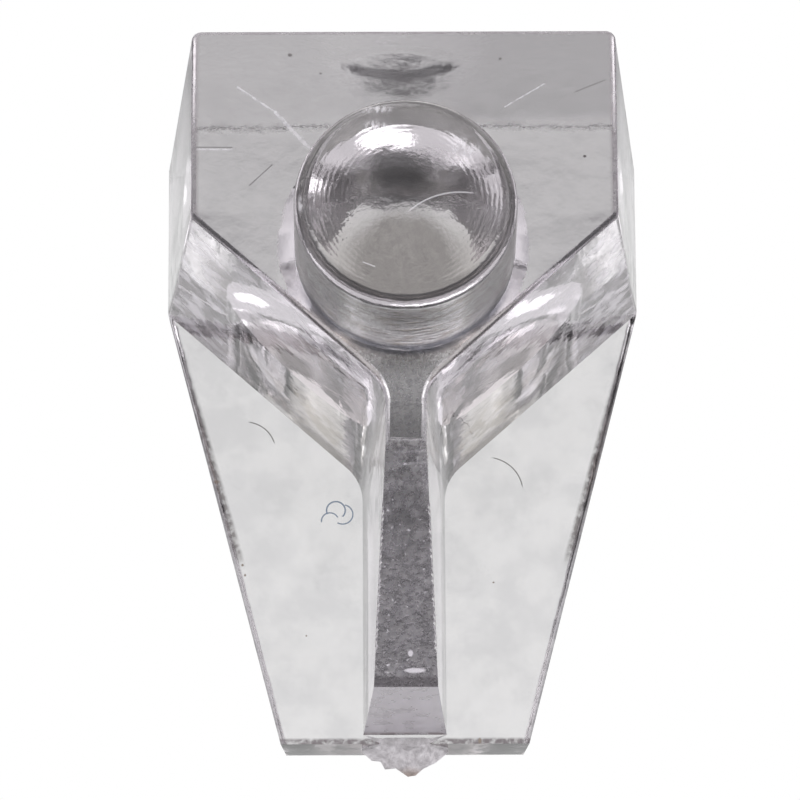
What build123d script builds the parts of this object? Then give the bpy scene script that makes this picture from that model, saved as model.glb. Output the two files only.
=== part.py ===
from build123d import *
import math
import os

os.makedirs("parts", exist_ok=True)

# One clear moulding, in millimetres. The origin is the centre of the pin where it leaves
# the wall face. +Z is up, the pin points to -Y, and the back plate lies on the +Y side.

# pin
pin_dia = 5.0
pin_length = 3.0
pin_end_round = 0.38
pin_embed = 1.0             # how far the pin's solid runs on into the block

# block between the wall face and the plate
rest_height = 5.32          # shelf rest above the pin axis
block_depth = 8.2           # wall face to front of plate
face_width = 9.68
side_draft_deg = 5.2
shoulder_height = 0.75      # where the V underside starts at the wall face
v_angle_deg = 42.4          # fall of each underside facet from the level
face_edge_round = 0.12
corner_round = 0.22

# back plate
plate_thickness = 1.2
plate_bottom = -9.25
plate_foot_width = 5.8
plate_back_inset = 0.13     # draft of the plate's outline over its thickness
plate_edge_round = 0.1

# gusset rib
rib_root_width = 1.94
rib_draft_deg = 3.6
rib_bend = -4.6             # below this the front slopes back at 45 degrees
rib_foot = -9.03
rib_throat_round = 1.1      # where the rib runs into the V facets

# blind core hole from the back, in the middle of the block
core_height = 1.4           # its axis above the pin axis
core_dia_mouth = 5.92
core_dia_end = 5.8
core_floor = 4.0            # depth of the dome's nearest point behind the wall face
core_dome = 1.5

# nicks along both front edges of the rib's slope
tooth_first = 1.2           # depth of the first nick behind the wall face
tooth_pitch = 0.155
tooth_mouth = 0.14
tooth_depth = 0.05
tooth_count = 24

# torn gate stub under the bottom edge of the plate
gate_width = 2.0
gate_drop = 0.68
gate_proud = 0.1            # how far it stands in front of the plate
gate_bite = 0.12            # how far it reaches up over the plate's bottom edge
gate_back_gap = 0.3         # left clear at the back of the plate's thickness

# torn outline, left to right: share of the half width, share of the drop
gate_tear = [
    (-1.0, 0.12), (-0.78, 0.42), (-0.57, 0.46), (-0.47, 0.74), (-0.22, 0.7),
    (0.06, 1.0), (0.24, 0.96), (0.42, 0.72), (0.72, 0.5), (1.0, 0.15),
]
gate_front_width = 0.45     # outline at the front, as shares of the full one
gate_front_drop = 0.3
gate_back_width = 0.8
gate_back_drop = 0.55

half_face = face_width / 2
half_back = half_face + block_depth * math.tan(math.radians(side_draft_deg))
v_slope = math.tan(math.radians(v_angle_deg))
rib_slope = math.tan(math.radians(rib_draft_deg))
plate_back = block_depth + plate_thickness
reach = plate_back - rib_foot + rest_height    # longer than any cut has to be
near = 1e-3


# height of the V underside at a distance x from the middle
def underside(x):
    return shoulder_height + v_slope * (abs(x) - half_face)


# half width of the rib at depth y
def rib_half(y):
    return rib_root_width / 2 - rib_slope * (block_depth - y)


# half width of the block at depth y
def block_half(y):
    return half_face + (half_back - half_face) * y / block_depth


# face in the plane at depth y through the (x, z) points
def face_at(points, y):
    return Face(Wire.make_polygon([Vector(x, y, z) for x, z in points], close=True))


# right half points followed by their mirror image
def mirrored(points):
    return points + [(-x, z) for x, z in reversed(points) if x != 0]


def loft_between(points_a, y_a, points_b, y_b):
    wires = [face_at(points_a, y_a).outer_wire(), face_at(points_b, y_b).outer_wire()]
    return Solid.make_loft(wires, ruled=True)


def edges_where(shape, test):
    return [e for e in shape.edges() if test(e, e.center())]


def runs_through_block(edge):
    return edge.length > 0.8 * block_depth and abs(edge.center().Y - block_depth / 2) < 1


def make_block():
    def pentagon(half):
        return mirrored([(0, underside(0)), (half, underside(half)), (half, rest_height)])
    return loft_between(pentagon(half_face), 0, pentagon(half_back), block_depth)


def make_plate():
    def shield(inset):
        return mirrored([
            (plate_foot_width / 2 - inset, plate_bottom + inset / 2),
            (half_back - inset, underside(half_back)),
            (half_back - inset, rest_height),
        ])
    return loft_between(shield(0), block_depth, shield(plate_back_inset), plate_back)


def make_rib():
    def section(y):
        return mirrored([(rib_half(y), rib_foot), (rib_half(y), 0)])
    blade = loft_between(section(0), 0, section(block_depth), block_depth)
    run = rib_bend - rib_foot
    clear = Wire.make_polygon([
        Vector(-reach, 0, rib_bend), Vector(-reach, run, rib_foot),
        Vector(-reach, run, -reach), Vector(-reach, -reach, -reach), Vector(-reach, -reach, rib_bend),
    ], close=True)
    return blade.cut(Solid.extrude(Face(clear), Vector(2 * reach, 0, 0)))


def make_pin():
    base = Plane(origin=(0, pin_embed, 0), z_dir=(0, -1, 0))
    pin = Solid.make_cylinder(pin_dia / 2, pin_length + pin_embed, base)
    tip = edges_where(pin, lambda e, c: abs(c.Y + pin_length) < near
                      and e.geom_type == GeomType.CIRCLE)
    return pin.fillet(pin_end_round, tip)


# tool for the core hole: a drafted cylinder with a domed end towards the pin
def make_core():
    end = core_dia_end / 2
    wall_start = core_floor + core_dome
    dome_radius = (end ** 2 + core_dome ** 2) / (2 * core_dome)
    half_turn = math.asin(end / dome_radius) / 2
    mid_x = dome_radius * math.sin(half_turn)
    mid_y = core_floor + dome_radius * (1 - math.cos(half_turn))
    mouth = Vector(core_dia_mouth / 2, plate_back, 0)
    rim = Vector(end, wall_start, 0)
    out = mouth + (mouth - rim).normalized()
    profile = Wire([
        Edge.make_three_point_arc(Vector(0, core_floor, 0), Vector(mid_x, mid_y, 0), rim),
        Edge.make_line(rim, out),
        Edge.make_line(out, Vector(0, out.Y, 0)),
        Edge.make_line(Vector(0, out.Y, 0), Vector(0, core_floor, 0)),
    ])
    return Solid.revolve(Face(profile), 360, Axis.Y).moved(Location((0, 0, core_height)))


# V nicks across both front edges of the rib's slope, some deeper than others
def make_teeth():
    nicks = []
    step = tooth_pitch / math.sqrt(2)
    half_mouth = tooth_mouth / 2 / math.sqrt(2)
    out = 3 * tooth_depth
    for side in (-1, 1):
        for i in range(tooth_count):
            y = tooth_first + i * step
            z = rib_bend - y
            x = side * rib_half(y)
            depth = tooth_depth * (0.7 + 0.3 * math.sin(1.7 * i + side))
            spread = half_mouth * (1 + out / depth)
            nick = Wire.make_polygon([
                Vector(x - side * depth, y, z),
                Vector(x + side * out, y - spread, z + spread),
                Vector(x + side * out, y + spread, z - spread),
            ], close=True)
            across = Vector(0, tooth_mouth, tooth_mouth)
            nicks.append(Solid.extrude(Face(nick).moved(Location(-across)), 2 * across))
    return nicks


# torn stub of the gate, thickest in the middle of the plate's edge
def make_gate():
    def torn(width_share, drop_share):
        half = width_share * gate_width / 2
        edge = [(half * x, plate_bottom - drop_share * gate_drop * z) for x, z in gate_tear]
        top = plate_bottom + gate_bite
        return [(-half, top)] + edge + [(half, top)]
    front = block_depth - gate_proud
    back = plate_back - gate_back_gap
    middle = (front + back) / 2
    full = torn(1, 1)
    first = loft_between(torn(gate_front_width, gate_front_drop), front, full, middle)
    return first.fuse(loft_between(full, middle, torn(gate_back_width, gate_back_drop), back))


body = make_block().fuse(make_plate()).fuse(make_rib()).clean()

# throats where the V facets run into the rib
throats = edges_where(body, lambda e, c: runs_through_block(e)
                      and abs(abs(c.X) - rib_half(c.Y)) < near)
body = body.fillet(rib_throat_round, throats)

# four long corners of the block, then the rim of the wall face
corners = edges_where(body, lambda e, c: runs_through_block(e)
                      and abs(abs(c.X) - block_half(c.Y)) < near)
body = body.fillet(corner_round, corners)
rim = edges_where(body, lambda e, c: abs(c.Y) < near and abs(c.Z) < reach)
body = body.fillet(face_edge_round, rim)
body = body.fillet(plate_edge_round, edges_where(body, lambda e, c: abs(c.Y - plate_back) < near))

body = body.fuse(make_pin())
body = body.cut(make_core())
body = body.cut(*make_teeth())
body = body.fuse(make_gate()).clean()
if not isinstance(body, Solid):
    body = body.solids()[0]

box = body.bounding_box()
print("volume", round(body.volume, 2), "valid", body.is_valid)
print("box", [round(v, 3) for v in (*box.min, *box.max)])
print("solids", len(body.solids()), "faces", len(body.faces()))
body.label = "shelf_support_pin"
export_step(body, "parts/shelf_support_pin.step")
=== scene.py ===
import math

import bmesh
import bpy
import numpy as np
from mathutils import Matrix, Vector


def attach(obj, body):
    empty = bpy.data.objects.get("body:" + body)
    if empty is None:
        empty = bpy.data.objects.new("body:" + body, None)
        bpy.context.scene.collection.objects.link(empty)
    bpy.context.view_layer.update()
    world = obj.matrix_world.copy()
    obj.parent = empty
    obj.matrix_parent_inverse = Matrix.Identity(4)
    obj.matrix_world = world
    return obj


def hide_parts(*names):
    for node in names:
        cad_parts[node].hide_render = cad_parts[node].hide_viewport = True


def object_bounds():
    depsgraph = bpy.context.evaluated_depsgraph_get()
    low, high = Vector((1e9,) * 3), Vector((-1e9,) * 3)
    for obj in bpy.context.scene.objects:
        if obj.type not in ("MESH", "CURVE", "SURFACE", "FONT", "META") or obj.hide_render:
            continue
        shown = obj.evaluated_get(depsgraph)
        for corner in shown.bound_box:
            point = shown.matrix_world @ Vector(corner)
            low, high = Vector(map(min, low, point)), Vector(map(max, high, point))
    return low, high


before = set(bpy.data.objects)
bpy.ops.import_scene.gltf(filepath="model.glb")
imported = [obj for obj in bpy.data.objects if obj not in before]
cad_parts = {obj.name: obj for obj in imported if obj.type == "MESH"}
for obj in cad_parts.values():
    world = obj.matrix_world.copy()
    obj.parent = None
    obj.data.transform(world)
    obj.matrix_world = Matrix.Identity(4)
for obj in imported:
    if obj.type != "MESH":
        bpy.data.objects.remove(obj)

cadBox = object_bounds()

mm = 0.001
nodeName = "shelf_support_pin"
print("frame loaded", [round(v / mm, 2) for v in (*cadBox[0], *cadBox[1])])

# places on the part that the zones and finishes below refer to, in mm
part = {
    "faceY": 0.0,          # wall face
    "faceHalf": 4.84,
    "plateY": 8.2,         # front of the plate
    "backY": 9.4,
    "restZ": 5.32,
    "pinEndFrom": -2.55,   # its rounded end starts here
    "pinRadius": 2.5,
    "coreZ": 1.4,          # axis of the core hole
    "coreRadius": 2.96,
    "coreStart": 4.0,
    "facetLowZ": -3.6,
    "ribBendZ": -4.6,
    "ribHalf": 0.95,
    "ribFootZ": -9.03,
    "funnelTop": -2.4,     # where the V runs out into the rib, below the pin
    "plateBottomZ": -9.25,
    "footHalf": 2.9,       # half width of the plate's bottom edge
    "sideSlope": 0.2703,   # how fast the plate's half width grows with height
    "gateHalf": 1.05,
}


# short names for building a node tree; each call adds its nodes and gives the output
class Tree:
    def __init__(self, tree):
        self.nodes = tree.nodes
        self.links = tree.links

    def put(self, kind, **settings):
        node = self.nodes.new(kind)
        for key, value in settings.items():
            setattr(node, key, value)
        return node

    # links an output to a socket or writes a value there; a colour may be three numbers
    def feed(self, socket, value):
        if isinstance(value, bpy.types.NodeSocket):
            self.links.new(value, socket)
        elif value is not None:
            short = socket.type == "RGBA" and len(value) == 3
            socket.default_value = (*value, 1.0) if short else value

    def fill(self, node, *values):
        for socket, value in zip(node.inputs, values):
            self.feed(socket, value)
        return node

    def math(self, operation, a, b=None):
        return self.fill(self.put("ShaderNodeMath", operation=operation), a, b).outputs[0]

    def add(self, a, b):
        return self.math("ADD", a, b)

    def sub(self, a, b):
        return self.math("SUBTRACT", a, b)

    def mul(self, a, b):
        return self.math("MULTIPLY", a, b)

    def low(self, a, b):
        return self.math("MINIMUM", a, b)

    def high(self, a, b):
        return self.math("MAXIMUM", a, b)

    def size(self, a):
        return self.math("ABSOLUTE", a)

    def total(self, parts):
        result = parts[0]
        for value in parts[1:]:
            result = self.add(result, value)
        return result

    # distance of (a, b) from the middle
    def span(self, a, b):
        return self.math("SQRT", self.add(self.mul(a, a), self.mul(b, b)))

    # eased ramp from lowTo at a to highTo at b
    def ease(self, value, a, b, lowTo=0.0, highTo=1.0):
        node = self.put("ShaderNodeMapRange", interpolation_type="SMOOTHSTEP")
        return self.fill(node, value, a, b, lowTo, highTo).outputs[0]

    # a noise, which seldom leaves 0.3 to 0.7, eased over all of that or over the middle of it
    def wide(self, noise, lowTo=0.0, highTo=1.0):
        return self.ease(noise, 0.3, 0.7, lowTo, highTo)

    def tight(self, noise, lowTo=0.0, highTo=1.0):
        return self.ease(noise, 0.35, 0.65, lowTo, highTo)

    # a value pushed to and fro by a noise, so that a ramp over it gets a ragged edge
    def ragged(self, value, noise, reach):
        return self.add(value, self.mul(self.sub(noise, 0.5), reach))

    def xyz(self, vector):
        return tuple(self.fill(self.put("ShaderNodeSeparateXYZ"), vector).outputs)

    def vector(self, x, y, z):
        return self.fill(self.put("ShaderNodeCombineXYZ"), x, y, z).outputs[0]

    def vectorMath(self, operation, a, b=None):
        node = self.fill(self.put("ShaderNodeVectorMath", operation=operation), a, b)
        isNumber = operation in ("DOT_PRODUCT", "DISTANCE", "LENGTH")
        return node.outputs["Value" if isNumber else "Vector"]

    def scaled(self, vector, factor):
        return self.vectorMath("MULTIPLY", vector, factor)

    def dot(self, vector, direction):
        return self.vectorMath("DOT_PRODUCT", vector, direction)

    def noise(self, vector, scale, detail=2.0, rough=0.5):
        node = self.put("ShaderNodeTexNoise")
        self.feed(node.inputs["Vector"], vector)
        node.inputs["Scale"].default_value = scale
        node.inputs["Detail"].default_value = detail
        node.inputs["Roughness"].default_value = rough
        return node.outputs[0]

    # sockets 6 and 7 of this node are its colours
    def mix(self, amount, a, b):
        node = self.put("ShaderNodeMix", data_type="RGBA")
        self.feed(node.inputs[0], amount)
        self.feed(node.inputs[6], a)
        self.feed(node.inputs[7], b)
        return node.outputs[2]

    # lays marks over a tint: each is (where, colour)
    def marked(self, tint, marks):
        for where, colour in marks:
            tint = self.mix(where, tint, colour)
        return tint

    # 1 in the middle of a line of this width, 0 off it, by the distance from its middle
    def line(self, away, width):
        return self.ease(away, width * 0.8, width * 0.25)

    # 1 on a straight scratch from a to b, 0 away from it; flat is a point in the surface
    def scratch(self, flat, a, b, width):
        along = Vector((b[0] - a[0], b[1] - a[1], 0.0))
        local = self.vectorMath("SUBTRACT", flat, (*a, 0.0))
        run = self.dot(local, along.normalized())
        run = self.low(self.high(run, 0.0), along.length)
        nearest = self.put("ShaderNodeVectorMath", operation="SCALE")
        nearest.inputs[0].default_value = along.normalized()
        self.feed(nearest.inputs["Scale"], run)
        return self.line(self.vectorMath("DISTANCE", local, nearest.outputs[0]), width)

    # 1 on a curved hair: the piece of a circle that lies towards one side of its centre, as far
    # as reach, the cosine of the angle; it fades in over a short stretch
    def hair(self, flat, centre, radius, towards, reach, width):
        away = self.vectorMath("DISTANCE", flat, (*centre, 0.0))
        local = self.vectorMath("SUBTRACT", flat, (*centre, 0.0))
        aim = Vector((*towards, 0.0)).normalized()
        stretch = self.ease(self.dot(local, aim), radius * reach, radius * (reach + 0.08))
        return self.mul(self.line(self.size(self.sub(away, radius)), width), stretch)

    # 1 inside an ellipse with a soft edge
    def patch(self, flat, centre, radii, soft=0.35):
        local = self.vectorMath("SUBTRACT", flat, (*centre, 0.0))
        away = self.vectorMath("LENGTH", self.scaled(local, (1 / radii[0], 1 / radii[1], 0.0)))
        return self.ease(away, 1 + soft, 1 - soft)


# the clear moulding

clear = {
    "ior": 1.5,
    "tint": (0.985, 0.98, 0.985, 1.0),
    "thickTint": (0.64, 0.625, 0.63, 1.0),     # left after 10 mm of plastic, roughly
    "thickDensity": 100.0,
    "polish": 0.015,
    "wave": (0.9, 2.0),                        # slow waviness of every face: scale, detail
    "waveHeight": 0.0096,                      # mm
    "weldDistance": 0.0005,                    # mm
    "shortestEdge": 0.0002,                    # mm
    "sharpAngle": 28.0,
}


# one finish of the clear plastic; surface(tree, x, y, z, point), in mm, gives a dictionary with any
# of tint, rough, height in mm and frost, the share of the surface that is scuffed white
def clearFinish(name, surface):
    material = bpy.data.materials.new(name)
    material.use_nodes = True
    tree = Tree(material.node_tree)
    shader = material.node_tree.nodes["Principled BSDF"]
    output = material.node_tree.nodes["Material Output"]
    shader.inputs["Base Color"].default_value = clear["tint"]
    shader.inputs["Roughness"].default_value = clear["polish"]
    shader.inputs["IOR"].default_value = clear["ior"]
    shader.inputs["Transmission Weight"].default_value = 1.0
    inside = tree.put("ShaderNodeVolumeAbsorption")
    inside.inputs["Color"].default_value = clear["thickTint"]
    inside.inputs["Density"].default_value = clear["thickDensity"]
    tree.links.new(inside.outputs[0], output.inputs["Volume"])
    place = tree.put("ShaderNodeTexCoord").outputs["Object"]
    point = tree.scaled(place, (1 / mm, 1 / mm, 1 / mm))
    x, y, z = tree.xyz(point)
    wave = tree.mul(tree.noise(point, *clear["wave"]), clear["waveHeight"])
    skin = surface(tree, x, y, z, point)
    tree.feed(shader.inputs["Base Color"], skin.get("tint"))
    tree.feed(shader.inputs["Roughness"], skin.get("rough"))
    if "frost" in skin:
        tree.feed(shader.inputs["Transmission Weight"], tree.sub(1.0, skin["frost"]))
    bump = tree.put("ShaderNodeBump")
    bump.inputs["Distance"].default_value = mm
    tree.feed(bump.inputs["Height"], tree.add(wave, skin["height"]) if "height" in skin else wave)
    tree.feed(shader.inputs["Normal"], bump.outputs[0])
    return material


# merged copy of the frame's mesh, smooth where the faces meet at a small angle
def mergedCopy(source, name):
    bm = bmesh.new()
    bm.from_mesh(source.data)
    bmesh.ops.remove_doubles(bm, verts=bm.verts, dist=clear["weldDistance"] * mm)
    bmesh.ops.dissolve_degenerate(bm, edges=bm.edges, dist=clear["shortestEdge"] * mm)
    sharp = math.radians(clear["sharpAngle"])
    for edge in bm.edges:
        edge.smooth = len(edge.link_faces) == 2 and edge.calc_face_angle(0.0) < sharp
    for face in bm.faces:
        face.smooth = True
    merged = bpy.data.meshes.new(name)
    bm.to_mesh(merged)
    bm.free()
    piece = bpy.data.objects.new(name, merged)
    bpy.context.scene.collection.objects.link(piece)
    return piece


# one value in three for each face of a mesh, as rows
def perFace(mesh, key):
    values = np.empty(len(mesh.polygons) * 3)
    mesh.polygons.foreach_get(key, values)
    return values.reshape(-1, 3)


body = mergedCopy(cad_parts[nodeName], "clear_body")
mesh = body.data
cx, cy, cz = (perFace(mesh, "center") / mm).T
nx, ny, nz = perFace(mesh, "normal").T

# how far each zone reaches past the place it is named for, mm
reach = {
    "plane": 0.001,            # keeps a zone off a plane that bounds it
    "flat": 0.02,              # a flat face lies this near its plane
    "wallFace": 0.15,
    "pinWall": 0.06,
    "coreWall": 0.03,
    "coreStart": 0.05,
    "aroundCore": 0.05,
    "rimDepth": 0.125,
    "aroundPin": 0.1,
    "ribShort": 0.05,          # the rib's front ends this far ahead of the plate
    "ribFootHalf": 1.0,
    "restTop": 0.03,
    "backEdge": 0.13,
    "gateUp": 0.14,
    "gateAhead": 0.15,
    "gateBack": 0.2,
    "gateFlat": 0.01,
}

# which finish each face takes, by where it lies and where it looks
fromCore = np.hypot(cx, cz - part["coreZ"])
fromPin = np.hypot(cx, cz)
aside = np.abs(cx)
looksAhead = ny < -0.9
leansAhead = ny < -0.5
beforePlate = cy < part["plateY"] - reach["plane"]
beforeBack = cy < part["backY"] - reach["plane"]
plateUnderside = (nz < -0.99) & (cz > part["plateBottomZ"] - reach["gateFlat"])
zones = {
    "wallFace": looksAhead & (np.abs(cy - part["faceY"]) < reach["wallFace"]),
    "plateFront": looksAhead & (np.abs(cy - part["plateY"]) < reach["flat"]),
    "pinEnd": cy < part["pinEndFrom"],
    "pinWall": (fromPin < part["pinRadius"] + reach["pinWall"]) & (cy > part["pinEndFrom"])
               & (cy < -2 * reach["plane"]),
    "coreWall": (fromCore < part["coreRadius"] + reach["coreWall"]) & beforeBack
                & (cy > part["coreStart"] - reach["coreStart"]),
    "facet": (nz < -0.4) & (cz > part["facetLowZ"]) & (cy > 2 * reach["plane"]) & beforePlate
             & (fromCore > part["coreRadius"] + reach["aroundCore"]),
    "faceRim": (ny < -0.05) & (cy > reach["plane"]) & (cy < reach["rimDepth"])
               & (fromPin > part["pinRadius"] + reach["aroundPin"]),
    "ribFront": leansAhead & (nz < 0.2) & (aside < part["ribHalf"]) & (cz < part["ribBendZ"])
                & (cy > reach["flat"]) & (cy < part["plateY"] - reach["ribShort"]),
    "ribFoot": (nz < -0.95) & (aside < reach["ribFootHalf"])
               & (np.abs(cz - part["ribFootZ"]) < reach["flat"]),
    "restTop": (nz > 0.9) & (np.abs(cz - part["restZ"]) < reach["restTop"])
               & (cy < part["backY"] - reach["backEdge"]),
    "backEdge": (cy > part["backY"] - reach["backEdge"]) & beforeBack
                & (cz > part["restZ"] - reach["backEdge"]),
    "gateTorn": (aside < part["gateHalf"]) & (cz < part["plateBottomZ"] + reach["gateUp"])
                & (cy > part["plateY"] - reach["gateAhead"])
                & (cy < part["backY"] - reach["gateBack"]) & ~plateUnderside,
}

# The finishes. A noise is given as scale per mm, detail and roughness, a mark's place as (x, z) in
# mm, and a pair as the two ends of a ramp. A tint acts about as its square root at each surface
# that light crosses, so dark marks have very dark tints.

plain = {"cloud": (1.7, 3.0), "rough": (0.03, 0.10)}


def plainFinish():
    def surface(t, x, y, z, point):
        return {"rough": t.wide(t.noise(point, *plain["cloud"]), *plain["rough"])}
    return clearFinish("clear_polished", surface)


# the hole's wall and dome: satin from the core pin, with painted shade for the shade inside the hole:
# darker and browner low down than above, dark patches on the dome and above it, and a dark streak at the
# top far back
core = {
    "grain": (5.0, 3.0),
    "fine": (14.0, 4.0, 0.6),
    # painted shade: the wall is darker and browner low down
    "lowShadeTint": (0.77, 0.72, 0.675),
    "highTint": (1.0, 0.985, 1.0),
    "tintHeight": (0.2, 2.0),
    "domeDepth": (5.2, 4.8),                    # past this depth the dome gives way to the wall
    # painted shade: a dark patch in the middle of the dome and a darker one above it
    "domeShadeTint": ((0.22, 0.20, 0.18), (0.38, 0.35, 0.32)),
    "domePatch": ((0.0, 0.42), (1.2, 1.0), 0.3),
    "upperShadeTint": (0.13, 0.12, 0.115),            # above it
    "upperShadePatch": ((0.0, 2.15), (1.8, 0.55), 0.4),
    "upperShadeBroken": (0.2, 0.6, 0.6, 1.0),
    "crownShadeTint": (0.20, 0.185, 0.18),           # painted shade: a dark grey streak at the top of the hole, far back
    "crownHalf": (1.7, 0.7),
    "crownDepth": (6.9, 7.5),
    "crownHeight": (3.7, 4.0),
    "rough": (0.04, 0.12),
    "grainHeight": 0.002,
}


def coreFinish():
    def surface(t, x, y, z, point):
        flat = t.vector(x, z, 0.0)
        grain = t.noise(point, *core["grain"])
        fine = t.noise(point, *core["fine"])
        onDome = t.ease(y, *core["domeDepth"])
        wallShadeTint = t.mix(t.ease(z, *core["tintHeight"]), core["lowShadeTint"], core["highTint"])
        domeShadeTint = t.mix(t.tight(fine), *core["domeShadeTint"])
        # painted shade: a dark streak at the top far back and dark patches on the dome
        crownShade = t.mul(t.ease(t.size(x), *core["crownHalf"]), t.ease(y, *core["crownDepth"]))
        crownShade = t.mul(crownShade, t.ease(z, *core["crownHeight"]))
        middle = t.mul(t.patch(flat, *core["domePatch"]), onDome)
        upperShade = t.mul(t.patch(flat, *core["upperShadePatch"]), onDome)
        upperShade = t.mul(upperShade, t.ease(grain, *core["upperShadeBroken"]))
        tint = t.marked(wallShadeTint, [
            (crownShade, core["crownShadeTint"]), (middle, domeShadeTint), (upperShade, core["upperShadeTint"]),
        ])
        return {"tint": tint, "rough": t.wide(grain, *core["rough"]),
                "height": t.mul(grain, core["grainHeight"])}
    return clearFinish("clear_core_satin", surface)


# the rough skin on the front of the rib and the funnel above it: a mottled grain with painted shade that
# darkens it
rib = {
    "grain": (7.0, 5.0, 0.65),
    "streak": (1.6, 3.0, 0.6),
    "streakStretch": (5.0, 1.0, 1.6),
    "grainShare": 0.55,                        # of the shading, the rest is the streak's
    "shade": (0.38, 0.64),
    # painted shade: the dark end of the mottle
    "dark": (0.66, 0.64, 0.69),
    "light": (1.0, 0.98, 1.0),
    "veil": (3.0, 4.0, 0.6),
    "frost": (0.02, 0.22),
    "rough": (0.12, 0.45),
    "grainHeight": 0.016,
    "side": (0.42, 0.62),                      # paler out towards the nicks
    "sideShare": 0.25,
    "lines": (-4.62, -4.83, -5.04),            # heights of the flow marks at the bend
    "lineEnds": (-0.25, 0.6),
    "lineRise": 0.03,
    "lineWidth": 0.05,
    "lineShare": 0.35,
    "specks": (11.0, 1.0),
    "speckFrom": (0.70, 0.75),
    "speckShare": 0.8,
    "spot": ((0.1, -8.42), (0.06, 0.06)),
    "dash": ((0.2, -8.73), (0.25, 0.045)),
    "whiteTint": (0.95, 0.94, 0.97),
    "whiteLimit": 0.9,
    "whiteFrost": 0.8,
    "footBand": (-8.80, -8.88),
    "footTint": (0.40, 0.37, 0.40),
}


# mottled skin with painted shade; the last argument darkens the painted shade further
def roughSkin(t, point, shadeDeepen=1.0):
    grain = t.noise(point, *rib["grain"])
    streak = t.noise(t.scaled(point, rib["streakStretch"]), *rib["streak"])
    shade = t.add(t.mul(grain, rib["grainShare"]), t.mul(streak, 1 - rib["grainShare"]))
    dark, light = (tuple(v * shadeDeepen for v in rib[k]) for k in ("dark", "light"))
    tint = t.mix(t.ease(shade, *rib["shade"]), dark, light)
    return tint, t.tight(grain, *rib["rough"]), t.mul(grain, rib["grainHeight"])


def ribFinish():
    left, right = rib["lineEnds"]

    def surface(t, x, y, z, point):
        tint, rough, height = roughSkin(t, point)
        flat = t.vector(x, z, 0.0)
        side = t.ease(t.size(x), *rib["side"])
        lines = t.total([
            t.scratch(flat, (left, h), (right, h + rib["lineRise"]), rib["lineWidth"])
            for h in rib["lines"]
        ])
        specks = t.ease(t.noise(point, *rib["specks"]), *rib["speckFrom"])
        spots = t.high(t.patch(flat, *rib["spot"]), t.patch(flat, *rib["dash"]))
        white = t.total([t.mul(lines, rib["lineShare"]), t.mul(specks, rib["speckShare"]), spots])
        white = t.low(white, rib["whiteLimit"])
        tint = t.marked(tint, [
            (t.mul(side, rib["sideShare"]), rib["light"]),
            (t.ease(z, *rib["footBand"]), rib["footTint"]), (white, rib["whiteTint"]),
        ])
        veil = t.tight(t.noise(point, *rib["veil"]), *rib["frost"])
        return {"tint": tint, "rough": rough, "height": height,
                "frost": t.high(t.mul(white, rib["whiteFrost"]), veil)}
    return clearFinish("clear_rib_rough", surface)


# the small flat foot of the rib, scuffed, with painted shade where it meets the plate
foot = {
    "cloud": (2.5, 3.0),
    "cloudRange": (0.2, 0.8),
    "tint": (0.80, 0.78, 0.815),
    # painted shade where the foot meets the plate
    "plateShadeTint": (0.35, 0.29, 0.30),
    "plateFrom": (7.9, 8.15),
    "plateBroken": (0.3, 0.6),
    "rough": (0.2, 0.45),
    "frost": (0.58, 0.78),
}


def footFinish():
    def surface(t, x, y, z, point):
        cloud = t.noise(point, *foot["cloud"])
        plateShade = t.mul(t.ease(y, *foot["plateFrom"]), t.ease(cloud, *foot["plateBroken"]))
        return {"tint": t.mix(plateShade, foot["tint"], foot["plateShadeTint"]),
                "rough": t.ease(cloud, *foot["cloudRange"], *foot["rough"]),
                "frost": t.ease(cloud, *foot["cloudRange"], *foot["frost"])}
    return clearFinish("clear_rib_foot", surface)


# the shelf rest, scuffed from front to back, with a slight hollow; its place is (x, y) in mm
top = {
    "scuff": (1.6, 4.0, 0.6),
    "scuffStretch": (1.0, 0.35, 1.0),
    "scuffRough": (0.4, 0.8, 0.0, 0.1),
    "scuffHeight": 0.03,
    "ragged": 2.4,
    "edge": (3.7, 4.4),             # how far back the rest is polished by use
    "rough": (0.05, 0.13),
    "worn": (8.3, 9.1, 0.0, 0.05),
    "hollow": ((-0.1, 3.1), (1.2, 1.25)),
    "hollowHeight": -0.05,
}


def topFinish():
    def surface(t, x, y, z, point):
        scuff = t.noise(t.scaled(point, top["scuffStretch"]), *top["scuff"])
        edge = t.ease(t.ragged(y, scuff, top["ragged"]), *top["edge"], *top["rough"])
        rough = t.total([edge, t.ease(scuff, *top["scuffRough"]), t.ease(y, *top["worn"])])
        hollow = t.mul(t.patch(t.vector(x, y, 0.0), *top["hollow"]), top["hollowHeight"])
        return {"rough": rough, "height": t.add(t.mul(scuff, top["scuffHeight"]), hollow)}
    return clearFinish("clear_rest_scuffed", surface)


backEdge = {"grain": (6.0, 3.0), "rough": (0.7, 0.9), "frost": (0.05, 0.15)}


def backEdgeFinish():
    def surface(t, x, y, z, point):
        grain = t.noise(point, *backEdge["grain"])
        return {"rough": t.wide(grain, *backEdge["rough"]),
                "frost": t.wide(grain, *backEdge["frost"])}
    return clearFinish("clear_back_edge", surface)


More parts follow.
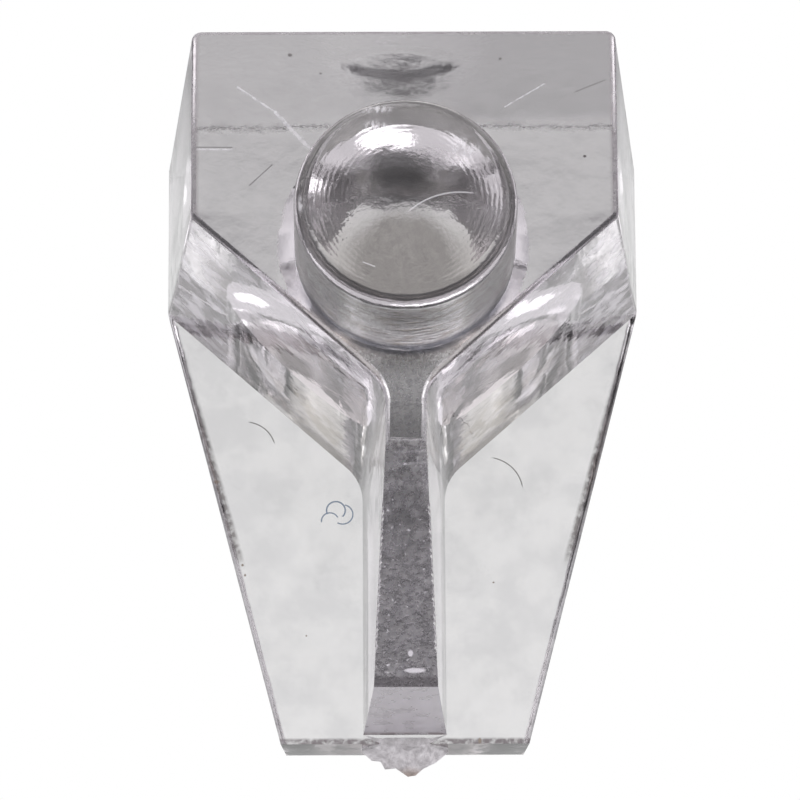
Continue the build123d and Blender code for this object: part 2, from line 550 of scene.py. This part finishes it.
# the pin's wall, with painted brown streaks of shade, and a painted blue-black shadow ring round its
# foot, which runs out over the wall face below the pin
pinWall = {
    "streak": (1.6, 4.0, 0.6),
    "streakStretch": (1.2, 5.0, 1.2),
    "streakFrom": (0.48, 0.6),
    "tint": (1.0, 0.99, 0.99),
    "shadeStreakTint": (0.58, 0.52, 0.45),
    "streakHeight": 0.03,
    "rough": (0.05, 0.2),
    "shadowRingTint": (0.07, 0.08, 0.12),
    "shadowRingDepth": (-0.5, -0.25),
    "shadowRingBroken": (0.3, 0.5, 0.35, 1.0),
    "shadowRingShare": 0.9,
    "shadowRingReach": (0.16, 0.04),                 # out over the wall face
    "ringHeight": (-0.6, -1.6),
    "shadowRingFaceShare": 0.85,
}


def pinWallFinish():
    def surface(t, x, y, z, point):
        streak = t.noise(t.scaled(point, pinWall["streakStretch"]), *pinWall["streak"])
        # painted shadow ring round the foot of the pin, over painted brown streaks of shade
        ring = t.mul(t.ease(y, *pinWall["shadowRingDepth"]), t.ease(streak, *pinWall["shadowRingBroken"]))
        tint = t.mix(t.ease(streak, *pinWall["streakFrom"]), pinWall["tint"], pinWall["shadeStreakTint"])
        tint = t.marked(tint, [(t.mul(ring, pinWall["shadowRingShare"]), pinWall["shadowRingTint"])])
        return {"tint": tint, "rough": t.wide(streak, *pinWall["rough"]),
                "height": t.mul(streak, pinWall["streakHeight"])}
    return clearFinish("clear_pin_wall", surface)


# wall face: scratches from use, a soft brown edge, painted shade above the pin and on the funnel, a
# painted shadow ring below the pin, grain on the funnel
face = {
    "cloud": (1.1, 4.0, 0.6),
    "cloudHeight": 0.012,
    "tint": ((0.93, 0.92, 0.935), (1.0, 0.985, 1.0)),
    "rough": (0.03, 0.10),
    "highTint": (0.57, 0.555, 0.575),          # painted shade, darker above the pin, more to the right
    "highFrom": (2.9, 3.3),
    "highAcross": (-1.0, 2.0, 0.5, 1.0),
    "funnelShadeDeepen": 0.22,
    "funnelRise": (0.35, -0.5),                # about the funnel's top
    "funnelHalf": (1.7, 0.9),
    "edgeTint": (0.52, 0.46, 0.50),
    "edgeInset": (0.20, 0.08),
    "edgeShare": 0.9,
    "whiteScratches": [
        ((-3.81, 3.93), (-2.94, 3.31), 0.05), ((-2.94, 3.31), (-2.17, 2.42), 0.09),
        ((-4.76, 2.40), (-3.92, 2.39), 0.035), ((3.2, 3.98), (2.3, 3.42), 0.03),
    ],
    "whiteTint": (0.97, 0.97, 1.0),
    "whiteGrain": (8.0, 3.0),
    "whiteBroken": (0.30, 0.55, 0.25, 0.8),
    "whiteLimit": 0.9,
    "whiteFrost": 0.42,
    "darkScratches": [
        ((-4.76, 2.45), (-3.92, 2.44), 0.03), ((-3.51, 1.52), (-3.01, 2.01), 0.03),
        ((3.90, 3.78), (4.59, 4.07), 0.03),
    ],
    "darkTint": (0.16, 0.145, 0.15),
    "darkShare": 0.7,
    "dust": [((-2.6, 4.71), 0.05), ((4.1, 2.2), 0.04), ((-1.9, 4.25), 0.03), ((2.2, 4.6), 0.035)],
    "dustTint": (0.12, 0.10, 0.10),
    "dustFlat": 0.8,                           # height of a speck against its width
}


def faceFinish():
    funnelFrom = [part["funnelTop"] + v for v in face["funnelRise"]]
    edgeFrom = [part["faceHalf"] - v for v in face["edgeInset"]]
    ringFrom = [part["pinRadius"] + v for v in pinWall["shadowRingReach"]]

    def surface(t, x, y, z, point):
        flat = t.vector(x, z, 0.0)
        cloud = t.noise(point, *face["cloud"])
        # the funnel takes the rib's skin with its painted shade made much darker
        funnelShadeTint, skinRough, skinHeight = roughSkin(t, point, face["funnelShadeDeepen"])
        funnel = t.mul(t.ease(z, *funnelFrom), t.ease(t.size(x), *face["funnelHalf"]))
        edge = t.mul(t.ease(t.size(x), *edgeFrom), face["edgeShare"])
        # painted shade above the pin, more to the right
        high = t.mul(t.ease(z, *face["highFrom"]), t.ease(x, *face["highAcross"]))
        dark = t.total([t.scratch(flat, *s) for s in face["darkScratches"]])
        dark = t.mul(t.low(dark, 1.0), face["darkShare"])
        white = t.total([t.scratch(flat, *s) for s in face["whiteScratches"]])
        white = t.mul(white, t.ease(t.noise(point, *face["whiteGrain"]), *face["whiteBroken"]))
        white = t.low(white, face["whiteLimit"])
        dust = t.total([t.patch(flat, c, (r, r * face["dustFlat"])) for c, r in face["dust"]])
        # painted shadow ring on the wall face below the pin
        ring = t.mul(t.ease(t.span(x, z), *ringFrom), t.ease(z, *pinWall["ringHeight"]))
        tint = t.marked(t.mix(t.tight(cloud), *face["tint"]), [
            (high, face["highTint"]), (edge, face["edgeTint"]), (dark, face["darkTint"]),
            (t.low(dust, 1.0), face["dustTint"]), (white, face["whiteTint"]), (funnel, funnelShadeTint),
            (t.mul(ring, pinWall["shadowRingFaceShare"]), pinWall["shadowRingTint"]),
        ])
        rough = t.mul(t.sub(1.0, funnel), t.wide(cloud, *face["rough"]))
        height = t.mul(cloud, face["cloudHeight"])
        return {"tint": tint, "rough": t.add(rough, t.mul(funnel, skinRough)),
                "height": t.add(height, t.mul(funnel, skinHeight)),
                "frost": t.mul(white, face["whiteFrost"])}
    return clearFinish("clear_wall_face", surface)


# the rounded rim of the wall face, dark brownish with a paler mottle, paler along the two lower edges
rim = {
    "worn": (2.6, 4.0, 0.6),
    "paleMottleFrom": (0.3, 0.6),
    "tint": (0.42, 0.36, 0.40),
    "paleMottleTint": (0.64, 0.59, 0.64),
    "underTint": (0.88, 0.84, 0.90),
    "underside": (0.85, 0.55),
    "rough": (0.12, 0.35),
    "mottleHeight": 0.02,
}


def rimFinish():
    def surface(t, x, y, z, point):
        worn = t.noise(point, *rim["worn"])
        tint = t.mix(t.ease(worn, *rim["paleMottleFrom"]), rim["tint"], rim["paleMottleTint"])
        tint = t.marked(tint, [(t.ease(z, *rim["underside"]), rim["underTint"])])
        return {"tint": tint, "rough": t.wide(worn, *rim["rough"]),
                "height": t.mul(worn, rim["mottleHeight"])}
    return clearFinish("clear_face_rim", surface)


# the V underside: lilac towards the wall face, with painted shade: a brownish band, broken by noise, and
# a dark line where it meets the plate
facet = {
    "cloud": (1.9, 2.0),
    "cloudHeight": 0.012,
    "ragged": 1.2,
    "tint": (0.99, 0.97, 1.0),
    "rough": (0.02, 0.06),
    # painted shade: a brownish band further back and a dark line at the plate
    "bandShadeTint": (0.64, 0.595, 0.54),
    "bandFrom": (4.6, 6.2),         # depth
    "bandBroken": (0.4, 0.6, 1.0, 0.15),
    "cornerShadeTint": (0.13, 0.11, 0.10),
    "cornerFrom": (7.25, 7.85),     # depth
    "cornerRagged": 0.8,
    "cornerFade": (1.2, 3.6, 0.95, 0.45),
    "petalFrom": (3.9, 2.9),        # depth; the lilac part lies ahead of it
    "petalTint": (0.985, 0.955, 1.0),
    "petalFrost": (0.05, 0.45),
    "outer": (3.2, 4.6),            # scuffed pale outer ends
    "outerTint": (0.93, 0.90, 0.96),
    "outerShare": 0.6,
    "outerFrost": (0.0, 0.62),
}


def facetFinish():
    def surface(t, x, y, z, point):
        cloud = t.noise(point, *facet["cloud"])
        depth = t.ragged(y, cloud, facet["ragged"])
        # painted shade: the band and the dark line where the facet meets the plate
        shadeBand = t.mul(t.ease(depth, *facet["bandFrom"]), t.ease(cloud, *facet["bandBroken"]))
        corner = t.ease(t.ragged(y, cloud, facet["cornerRagged"]), *facet["cornerFrom"])
        corner = t.mul(corner, t.ease(t.size(x), *facet["cornerFade"]))
        outer = t.ease(t.size(x), *facet["outer"])
        petal = t.ease(depth, *facet["petalFrom"])
        tint = t.marked(facet["tint"], [
            (shadeBand, facet["bandShadeTint"]), (corner, facet["cornerShadeTint"]),
            (t.mul(outer, facet["outerShare"]), facet["outerTint"]), (petal, facet["petalTint"]),
        ])
        outerFrost = t.mul(outer, t.wide(cloud, *facet["outerFrost"]))
        petalFrost = t.mul(petal, t.wide(cloud, *facet["petalFrost"]))
        return {"tint": tint, "rough": t.wide(cloud, *facet["rough"]),
                "height": t.mul(cloud, facet["cloudHeight"]),
                "frost": t.high(outerFrost, petalFrost)}
    return clearFinish("clear_v_facet", surface)


# end of the pin: fine turned rings, a curved hair scratch and a few pale frosted patches that are
# painted highlights
pin = {
    "cloud": (2.4, 4.0, 0.6),
    "cloudHeight": 0.012,
    "tint": (0.985, 0.975, 0.98),
    "rough": (0.01, 0.05),
    "ringPitch": 0.11,
    "ringHeight": 0.0006,
    "ringFrom": (1.0, 1.8),                    # distance from the axis
    "ringDrift": 0.12,
    "hair": ((1.2, -1.5), 1.655, (-0.28, 0.96), 0.85, 0.035),
    "scratches": [((-0.95, -1.50), (-0.70, -1.60), 0.03)],
    "scratchShare": 0.42,
    # painted highlights: pale frosted patches on the end
    "highlightPatches": [((-2.33, -0.08), (0.06, 0.20)), ((-0.65, 2.15), (0.34, 0.09)),
                ((-0.62, 1.72), (0.30, 0.16)), ((1.35, 1.25), (0.30, 0.22))],
    "highlightSoft": 0.6,
    "highlightShare": 0.5,
    "highlightStreak": (2.0, 3.0),
    "highlightStretch": (6.0, 1.0, 2.0),
    "whiteTint": (0.96, 0.97, 1.0),
    "whiteLimit": 0.85,
}


def pinEndFinish():
    def surface(t, x, y, z, point):
        flat = t.vector(x, z, 0.0)
        fromAxis = t.vectorMath("LENGTH", flat)
        cloud = t.noise(point, *pin["cloud"])
        turn = t.add(fromAxis, t.mul(cloud, pin["ringDrift"]))
        ring = t.math("SINE", t.mul(turn, 2 * math.pi / pin["ringPitch"]))
        ring = t.mul(t.mul(ring, pin["ringHeight"]), t.ease(fromAxis, *pin["ringFrom"]))
        marks = t.total([t.hair(flat, *pin["hair"])] + [t.scratch(flat, *s) for s in pin["scratches"]])
        # painted highlights, streaked
        paintedHighlight = t.total([t.patch(flat, *s, pin["highlightSoft"]) for s in pin["highlightPatches"]])
        streaky = t.tight(t.noise(t.scaled(point, pin["highlightStretch"]), *pin["highlightStreak"]))
        paintedHighlight = t.mul(t.mul(paintedHighlight, streaky), pin["highlightShare"])
        white = t.low(t.add(t.mul(marks, pin["scratchShare"]), paintedHighlight), pin["whiteLimit"])
        return {"tint": t.mix(white, pin["tint"], pin["whiteTint"]),
                "rough": t.wide(cloud, *pin["rough"]),
                "height": t.add(ring, t.mul(cloud, pin["cloudHeight"])), "frost": white}
    return clearFinish("clear_pin_end", surface)


# plate front: tapering dark strips inside its slanted edges, hairs, a tangled fibre and specks
plate = {
    "cloud": (0.9, 4.0, 0.55),
    "cloudHeight": 0.02,
    "fine": (6.0, 3.0, 0.6),
    "tint": ((0.78, 0.78, 0.785), (0.92, 0.915, 0.91)),
    "rough": (0.03, 0.12),
    "stripNear": (0.11, 0.19),                  # how far in from the edge it starts and ends
    "stripFar": (0.40, 0.29),
    "stripLow": (-5.0, -4.4),
    "stripHigh": (0.9, 0.2),
    "stripBroken": (0.3, 0.6, 0.4, 0.95),
    "stripFade": (0.6, -2.2, 0.3, 1.0),         # fainter upwards
    "stripTint": (0.13, 0.11, 0.105),
    "rimInset": (0.09, 0.03),
    "rimShare": 0.45,
    "rimTint": (0.30, 0.26, 0.28),
    "bottomLine": (-9.08, -9.16),
    "bottomBroken": (0.3, 0.6, 0.3, 0.95),
    "bottomTint": (0.10, 0.07, 0.08),
    "hairs": [
        ((-3.75, -2.00), 0.72, (0.66, 0.75), 0.80, 0.022),
        ((1.95, -3.05), 0.865, (0.72, 0.69), 0.78, 0.022),
    ],
    "hairTint": (0.06, 0.05, 0.045),
    "fibre": [
        ((-1.60, -3.50), 0.22, (0.2, 1.0), -0.6, 0.034), ((-1.44, -3.60), 0.24, (1.0, -0.4), -0.2, 0.03),
        ((-1.74, -3.76), 0.20, (-0.3, 1.0), 0.1, 0.03),
    ],
    "fibreTint": (0.10, 0.16, 0.27),
    "specks": [((-4.42, -2.78), (0.07, 0.04)), ((-3.80, -4.85), (0.03, 0.03)),
               ((-3.74, -5.10), (0.025, 0.03)), ((1.745, -9.18), (0.04, 0.07)),
               ((2.1, -5.3), (0.025, 0.02)), ((-2.3, -6.6), (0.02, 0.02))],
    "speckTint": (0.20, 0.14, 0.10),
}


def plateFinish():
    def surface(t, x, y, z, point):
        flat = t.vector(x, z, 0.0)
        cloud = t.noise(point, *plate["cloud"])
        fine = t.noise(point, *plate["fine"])
        half = t.add(t.mul(t.sub(z, part["plateBottomZ"]), part["sideSlope"]), part["footHalf"])
        inward = t.sub(half, t.size(x))
        strip = t.mul(t.ease(inward, *plate["stripNear"]), t.ease(inward, *plate["stripFar"]))
        strip = t.mul(strip, t.mul(t.ease(z, *plate["stripLow"]), t.ease(z, *plate["stripHigh"])))
        strip = t.mul(strip, t.mul(t.ease(fine, *plate["stripBroken"]), t.ease(z, *plate["stripFade"])))
        edge = t.mul(t.ease(inward, *plate["rimInset"]), plate["rimShare"])
        bottom = t.mul(t.ease(z, *plate["bottomLine"]), t.ease(fine, *plate["bottomBroken"]))
        hairs = t.total([t.hair(flat, *h) for h in plate["hairs"]])
        fibre = t.low(t.total([t.hair(flat, *h) for h in plate["fibre"]]), 1.0)
        specks = t.low(t.total([t.patch(flat, *s) for s in plate["specks"]]), 1.0)
        tint = t.marked(t.mix(t.tight(cloud), *plate["tint"]), [
            (edge, plate["rimTint"]), (strip, plate["stripTint"]), (bottom, plate["bottomTint"]),
            (hairs, plate["hairTint"]), (fibre, plate["fibreTint"]), (specks, plate["speckTint"]),
        ])
        return {"tint": tint, "rough": t.wide(cloud, *plate["rough"]),
                "height": t.mul(cloud, plate["cloudHeight"])}
    return clearFinish("clear_plate_front", surface)


# the torn stub of the gate, whitened by the break, browner at its tip
gate = {
    "grain": (6.0, 5.0, 0.7),
    "grainHeight": 0.10,
    "tint": ((0.76, 0.745, 0.745), (0.93, 0.92, 0.92)),
    "tip": (-9.70, -9.90),
    "tipTint": (0.62, 0.53, 0.47),
    "rough": (0.4, 0.8),
    "frost": (0.5, 0.9),
}


def gateFinish():
    def surface(t, x, y, z, point):
        grain = t.noise(point, *gate["grain"])
        tint = t.mix(t.tight(grain), *gate["tint"])
        tint = t.marked(tint, [(t.ease(z, *gate["tip"]), gate["tipTint"])])
        return {"tint": tint, "rough": t.wide(grain, *gate["rough"]),
                "height": t.mul(grain, gate["grainHeight"]), "frost": t.wide(grain, *gate["frost"])}
    return clearFinish("clear_gate_torn", surface)


finishes = {
    "plain": plainFinish(),
    "wallFace": faceFinish(),
    "plateFront": plateFinish(),
    "pinEnd": pinEndFinish(),
    "pinWall": pinWallFinish(),
    "facet": facetFinish(),
    "coreWall": coreFinish(),
    "faceRim": rimFinish(),
    "ribFront": ribFinish(),
    "ribFoot": footFinish(),
    "restTop": topFinish(),
    "backEdge": backEdgeFinish(),
    "gateTorn": gateFinish(),
}
count = len(mesh.polygons)
index = np.zeros(count, dtype=np.int32)
for i, (zone, finish) in enumerate(finishes.items()):
    mesh.materials.append(finish)
    if zone in zones:
        index[zones[zone]] = i
mesh.polygons.foreach_set("material_index", index)
mesh.update()
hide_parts(nodeName)
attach(body, "root")
print("body", count, "faces", {k: int(v.sum()) for k, v in zones.items()})

# the studio: the camera sees plain white behind the part, and the plastic shows a room that depends
# on direction alone. A pair is the two ends of a ramp over x, y or z of the direction.
studio = {
    "cardLight": 0.86,                 # pale card behind the part, seen through it
    "cardTop": (0.43, 0.35),
    "cardBottom": (-0.65, -0.55),
    "cardSide": (0.62, 0.50),
    "cardBehind": (0.3, 0.5),
    "flagLight": 0.10,                 # dark surround of the card, straight behind the part
    "flagSide": 0.65,                  # and off to its sides
    "flagReach": (0.22, 0.50),
    "flagTint": (0.98, 0.95, 1.0),
    "overLight": 0.92,                 # pale ceiling
    "overFrom": (0.45, 0.72),
    "frontLight": 1.10,                # pale room in front
    "roomTint": (1.0, 0.965, 1.01),
    "roomFront": (0.45, 0.15),
    "roomOver": (0.72, 0.80),
    "overSide": 0.35,                  # the ceiling starts lower off to the sides
    "windowSoft": 0.01,
}

# small brighter openings in the room: towards, cosine of the reach, light
windows = [
    ((-0.25, -0.35, 1.0), 0.94, 1.6),
    ((0.9, -0.7, 0.4), 0.96, 0.8),
    ((0.28, 0.90, -0.33), 0.988, 1.7),
    ((-0.28, 0.90, -0.33), 0.988, 1.7),
    ((0.59, 0.11, 0.80), 0.98, 0.5),
]
white = (1.0, 1.0, 1.0, 1.0)


def windowLight(t, direction, towards, reach, amount):
    aim = Vector(towards).normalized()
    soft = studio["windowSoft"]
    return t.ease(t.dot(direction, aim), reach - soft, reach + soft, 0.0, amount)


# the shader of the second where the amount is 1
def eitherShader(t, amount, first, second):
    node = t.put("ShaderNodeMixShader")
    return t.fill(node, amount, first.outputs[0], second.outputs[0]).outputs[0]


scene = bpy.context.scene
world = bpy.data.worlds.new("studio")
scene.world = world
world.use_nodes = True
world.node_tree.nodes.clear()
t = Tree(world.node_tree)
direction = t.put("ShaderNodeTexCoord").outputs["Generated"]
dx, dy, dz = t.xyz(direction)
side = t.size(dx)
card = t.mul(t.ease(dz, *studio["cardTop"]), t.ease(dz, *studio["cardBottom"]))
card = t.mul(card, t.ease(side, *studio["cardSide"]))
card = t.mul(card, t.ease(dy, *studio["cardBehind"]))
overhead = t.ease(t.add(dz, t.mul(side, studio["overSide"])), *studio["roomOver"])
room = t.high(t.ease(dy, *studio["roomFront"]), overhead)
flag = t.ease(side, *studio["flagReach"], studio["flagLight"], studio["flagSide"])
level = t.add(flag, t.mul(card, t.sub(studio["cardLight"], flag)))
roomLight = t.ease(dz, *studio["overFrom"], studio["frontLight"], studio["overLight"])
level = t.add(level, t.mul(room, t.sub(roomLight, level)))
level = t.total([level] + [windowLight(t, direction, *w) for w in windows])
colour = t.mix(card, studio["flagTint"], white)
colour = t.mix(room, colour, studio["roomTint"])
roomShade = t.put("ShaderNodeBackground")
t.feed(roomShade.inputs["Color"], colour)
t.feed(roomShade.inputs["Strength"], level)
whiteShade = t.put("ShaderNodeBackground")
whiteShade.inputs["Color"].default_value = white
whiteShade.inputs["Strength"].default_value = 1.0
seen = t.put("ShaderNodeLightPath").outputs["Is Camera Ray"]
t.fill(t.put("ShaderNodeOutputWorld"), eitherShader(t, seen, roomShade, whiteShade))

# plain pale floor just under the part. It can't be seen from below, where this camera is, and
# light that comes out of the clear plastic passes it, so that the plastic shows the studio
floor = {
    "gap": 0.02,               # mm under the lowest point
    "reach": 80.0,             # mm
    "fade": (20.0, 60.0),      # where it runs out into the white, mm from the middle
    "colour": (0.90, 0.90, 0.905, 1.0),
    "rough": 0.7,
}
floorZ = cadBox[0][2] / mm - floor["gap"]
half = floor["reach"]
corners = [(-half, -half), (half, -half), (half, half), (-half, half)]
floorMesh = bpy.data.meshes.new("floor")
floorMesh.from_pydata([(u * mm, v * mm, floorZ * mm) for u, v in corners], [], [(0, 1, 2, 3)])
floorPiece = bpy.data.objects.new("floor", floorMesh)
scene.collection.objects.link(floorPiece)
floorShade = bpy.data.materials.new("pale_floor")
floorShade.use_nodes = True
t = Tree(floorShade.node_tree)
paint = floorShade.node_tree.nodes["Principled BSDF"]
paint.inputs["Base Color"].default_value = floor["colour"]
paint.inputs["Roughness"].default_value = floor["rough"]
place = t.scaled(t.put("ShaderNodeTexCoord").outputs["Object"], (1 / mm, 1 / mm, 1 / mm))
x, y, z = t.xyz(place)
under = t.put("ShaderNodeNewGeometry").outputs["Backfacing"]
hidden = t.high(t.ease(t.span(x, y), *floor["fade"]), under)
passing = t.put("ShaderNodeBsdfTransparent")
surface = floorShade.node_tree.nodes["Material Output"].inputs["Surface"]
t.feed(surface, eitherShader(t, hidden, paint, passing))
floorMesh.materials.append(floorShade)
floorPiece.visible_transmission = False
floorPiece.visible_glossy = False
floorPiece.visible_diffuse = False
print("studio set")

# camera, fitted to the outlines of the part: it looks up at the wall face from below
view = {
    "azimuth": -0.41968,
    "elevation": -19.66899,
    "roll": -0.33744,
    "distance": 149.99063,     # mm
    "target": (-0.13237, 0.0, -3.66984),
    "lens": 300.912,
    "sensor": 36.0,
    "clip": (0.001, 10.0),     # m
}
az, el, ro = (math.radians(view[k]) for k in ("azimuth", "elevation", "roll"))
away = Vector((math.sin(az) * math.cos(el), -math.cos(az) * math.cos(el), math.sin(el)))
right = (-away).cross(Vector((0, 0, 1))).normalized()
up = right.cross(-away)
rightRolled = right * math.cos(ro) + up * math.sin(ro)
upRolled = -right * math.sin(ro) + up * math.cos(ro)
spot = (Vector(view["target"]) + away * view["distance"]) * mm
cameraData = bpy.data.cameras.new("camera")
cameraData.lens = view["lens"]
cameraData.sensor_width = view["sensor"]
cameraData.clip_start, cameraData.clip_end = view["clip"]
camera = bpy.data.objects.new("camera", cameraData)
scene.collection.objects.link(camera)
turn = Matrix((rightRolled, upRolled, away)).transposed().to_4x4()
camera.matrix_world = Matrix.Translation(spot) @ turn
scene.camera = camera
scene.view_settings.view_transform = "Standard"
print("camera set")
